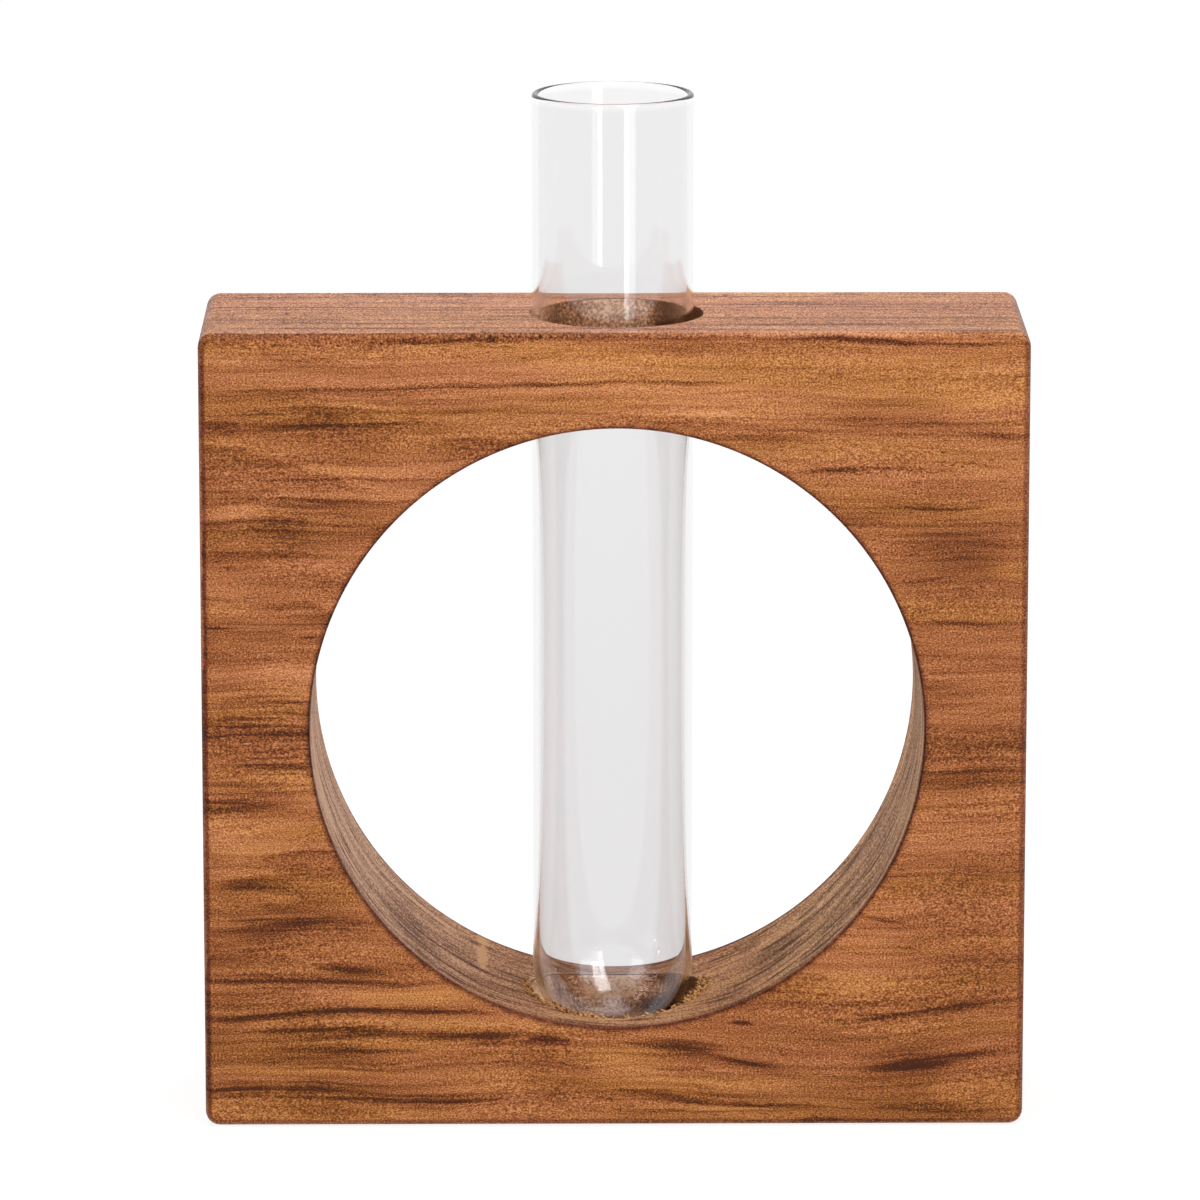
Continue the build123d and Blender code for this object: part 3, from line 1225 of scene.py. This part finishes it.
# The glass. Each wall that is looked through tints a little. The tint also carries painted shade:
# darker low down, less so higher up, and none at the rim, which lightens it.
GLASS_LOW_SHADED = (0.89, 0.882, 0.888, 1.0)
GLASS_HIGH = (0.92, 0.915, 0.92, 1.0)
GLASS_IN_SHADOW = (0.93, 0.93, 0.93, 1.0)


def glass_material():
    material = bpy.data.materials.new("tube_glass")
    material.use_nodes = True
    tree = material.node_tree
    nodes = Nodes(tree)
    shader = tree.nodes["Principled BSDF"]
    source = nodes.add("ShaderNodeTexCoord")
    height = nodes.split(source.outputs["Object"])[2]
    # Painted shade: the tint darker low down, and clear at the rim.
    higher_up = nodes.remap(height, 20.0 * MM, 150.0 * MM, smooth=True)
    tint = nodes.mix_colour(higher_up, GLASS_LOW_SHADED, GLASS_HIGH)
    at_rim = nodes.remap(height, 157.8 * MM, 158.6 * MM)
    tint = nodes.mix_colour(at_rim, tint, WHITE)
    nodes.feed(shader.inputs["Base Color"], tint)
    shader.inputs["Roughness"].default_value = 0.0
    shader.inputs["IOR"].default_value = 1.5
    shader.inputs["Transmission Weight"].default_value = 1.0
    through = nodes.add("ShaderNodeBsdfTransparent")
    nodes.feed(through.inputs["Color"], GLASS_IN_SHADOW)
    shadow_ray = nodes.add("ShaderNodeLightPath").outputs["Is Shadow Ray"]
    surface = nodes.mix_shader(shadow_ray, shader.outputs[0], through.outputs[0])
    nodes.feed(tree.nodes["Material Output"].inputs["Surface"], surface)
    return material


# The studio: a white floor and backdrop, soft light, and the camera


def empty_tree(owner):
    """Clears the nodes of a world or a material. Returns their helper."""
    owner.use_nodes = True
    owner.node_tree.nodes.clear()
    return Nodes(owner.node_tree)


def sees_background(nodes):
    """1 for the rays that show the background itself, seen, mirrored or through glass."""
    path = nodes.add("ShaderNodeLightPath")
    seen = nodes.math("MAXIMUM", path.outputs["Is Camera Ray"], path.outputs["Is Glossy Ray"])
    return nodes.math("MAXIMUM", seen, path.outputs["Is Transmission Ray"])


def white_world():
    """Soft light for the wood. The background itself is white, and darker high overhead."""
    world = bpy.data.worlds.new("white_studio")
    bpy.context.scene.world = world
    nodes = empty_tree(world)
    upward = nodes.split(nodes.add("ShaderNodeTexCoord").outputs["Generated"])[2]
    darker_overhead = nodes.remap(upward, 0.45, 0.75, 1.0, 0.35)
    ambient = nodes.white_light("ShaderNodeBackground", 0.55)
    backdrop = nodes.white_light("ShaderNodeBackground", darker_overhead)
    output = nodes.add("ShaderNodeOutputWorld")
    surface = nodes.mix_shader(sees_background(nodes), ambient, backdrop)
    nodes.feed(output.inputs["Surface"], surface)


def floor_material():
    """White with the object's soft shadow to the eye, plain white in glass, a card to lamps."""
    material = bpy.data.materials.new("studio_floor")
    nodes = empty_tree(material)
    seen = nodes.add("ShaderNodeAddShader")
    nodes.feed(seen.inputs[0], nodes.matte_grey(0.25))
    nodes.feed(seen.inputs[1], nodes.white_light("ShaderNodeEmission", 0.83))
    plain_white = nodes.white_light("ShaderNodeEmission", 1.0)
    unseen = nodes.mix_shader(sees_background(nodes), nodes.matte_grey(0.8), plain_white)
    camera_ray = nodes.add("ShaderNodeLightPath").outputs["Is Camera Ray"]
    output = nodes.add("ShaderNodeOutputMaterial")
    nodes.feed(output.inputs["Surface"], nodes.mix_shader(camera_ray, unseen, seen.outputs[0]))
    return material


def make_floor():
    bpy.ops.mesh.primitive_plane_add(size=30.0, location=(0.0, 0.0, -0.1 * MM))
    floor = bpy.context.object
    floor.name = "studio_floor"
    settle(floor)
    floor.data.materials.append(floor_material())


def add_softbox(name, place, aim, width, height, radiance):
    """A rectangular lamp facing a point. Its radiance is 1 where it looks just white."""
    data = bpy.data.lights.new(name, "AREA")
    data.shape = "RECTANGLE"
    data.size = width
    data.size_y = height
    data.energy = radiance * math.pi * width * height
    lamp = bpy.data.objects.new(name, data)
    bpy.context.collection.objects.link(lamp)
    lamp.location = place
    lamp.rotation_euler = (Vector(aim) - Vector(place)).to_track_quat("-Z", "Y").to_euler()
    lamp.visible_camera = False
    return lamp


def round_the_tube(degrees, away, height):
    """A place so far from the tube's axis, turned to the right of the front."""
    angle = math.radians(degrees)
    return away * math.sin(angle), -away * math.cos(angle), height


def make_strip_core():
    """The bright left part of the strip, which the tube mirrors as two sharp-edged highlights."""
    place = round_the_tube(19.2, 0.51, 0.275)
    return add_softbox("strip_core", place, (0.0, 0.0, 0.275), 0.058, 0.5, 2.7)


def make_high_card():
    """A small bright lamp high at the front right. Only the tube's round end mirrors it."""
    place = round_the_tube(25.0, 0.45, 0.41)
    return add_softbox("high_card", place, (0.0, 0.0, 0.015), 0.22, 0.54, 9.0)


def light_only(lamp, piece):
    """Keeps a lamp's light to one piece, as a flagged lamp in a studio."""
    receivers = bpy.data.collections.new("lit_by_" + lamp.name)
    receivers.objects.link(piece)
    lamp.light_linking.receiver_collection = receivers


def make_lights():
    """A strip from the front right, two broad fills from the sides, and one overhead."""
    place = round_the_tube(24.0, 0.52, 0.275)
    add_softbox("strip_softbox", place, (0.0, 0.0, 0.275), 0.15, 0.5, 1.6)
    for name, side in (("left_softbox", -1.15), ("right_softbox", 1.15)):
        fill = add_softbox(name, (side, -1.05, 0.75), (0.0, 0.0, 0.06), 0.9, 0.9, 2.2)
        fill.visible_glossy = False
    add_softbox("top_softbox", (0.0, 0.1, 1.3), (0.0, 0.0, 0.1), 0.9, 0.9, 2.9)


def make_camera():
    """The photograph's viewpoint: 1.2 m in front, a little above, through a long lens."""
    data = bpy.data.cameras.new("photo_camera")
    data.lens = 236.5
    data.sensor_width = 36.0
    data.clip_start = 0.05
    data.clip_end = 30.0
    camera = bpy.data.objects.new("photo_camera", data)
    bpy.context.collection.objects.link(camera)
    camera.location = (-11.97 * MM, -1199.8 * MM, 338.1 * MM)
    looks_down = math.radians(90.0 - 12.162)
    turned = math.radians(-0.473)
    camera.rotation_euler = (looks_down, 0.0, turned)
    bpy.context.scene.camera = camera


def declare(block, fibres, tube):
    """Says which body each piece goes with and what it stands for."""
    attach(block, "wood_block")
    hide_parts("wood_block")
    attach(fibres, "wood_block")
    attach(tube, "test_tube")
    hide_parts("test_tube")


def set_view():
    """Plain colours, and bounces enough for light to find its way through the tube's walls."""
    scene = bpy.context.scene
    scene.view_settings.view_transform = "Standard"
    scene.cycles.max_bounces = 20
    scene.cycles.glossy_bounces = 16
    scene.cycles.transmission_bounces = 20


def main():
    make_camera()
    white_world()
    make_floor()
    make_lights()
    block = make_block()
    finish_wood(block)
    fibres = make_torn_fibres()
    fibres.data.materials.append(torn_material())
    tube = make_tube()
    tube.data.materials.append(glass_material())
    light_only(make_strip_core(), tube)
    light_only(make_high_card(), tube)
    declare(block, fibres, tube)
    set_view()


main()
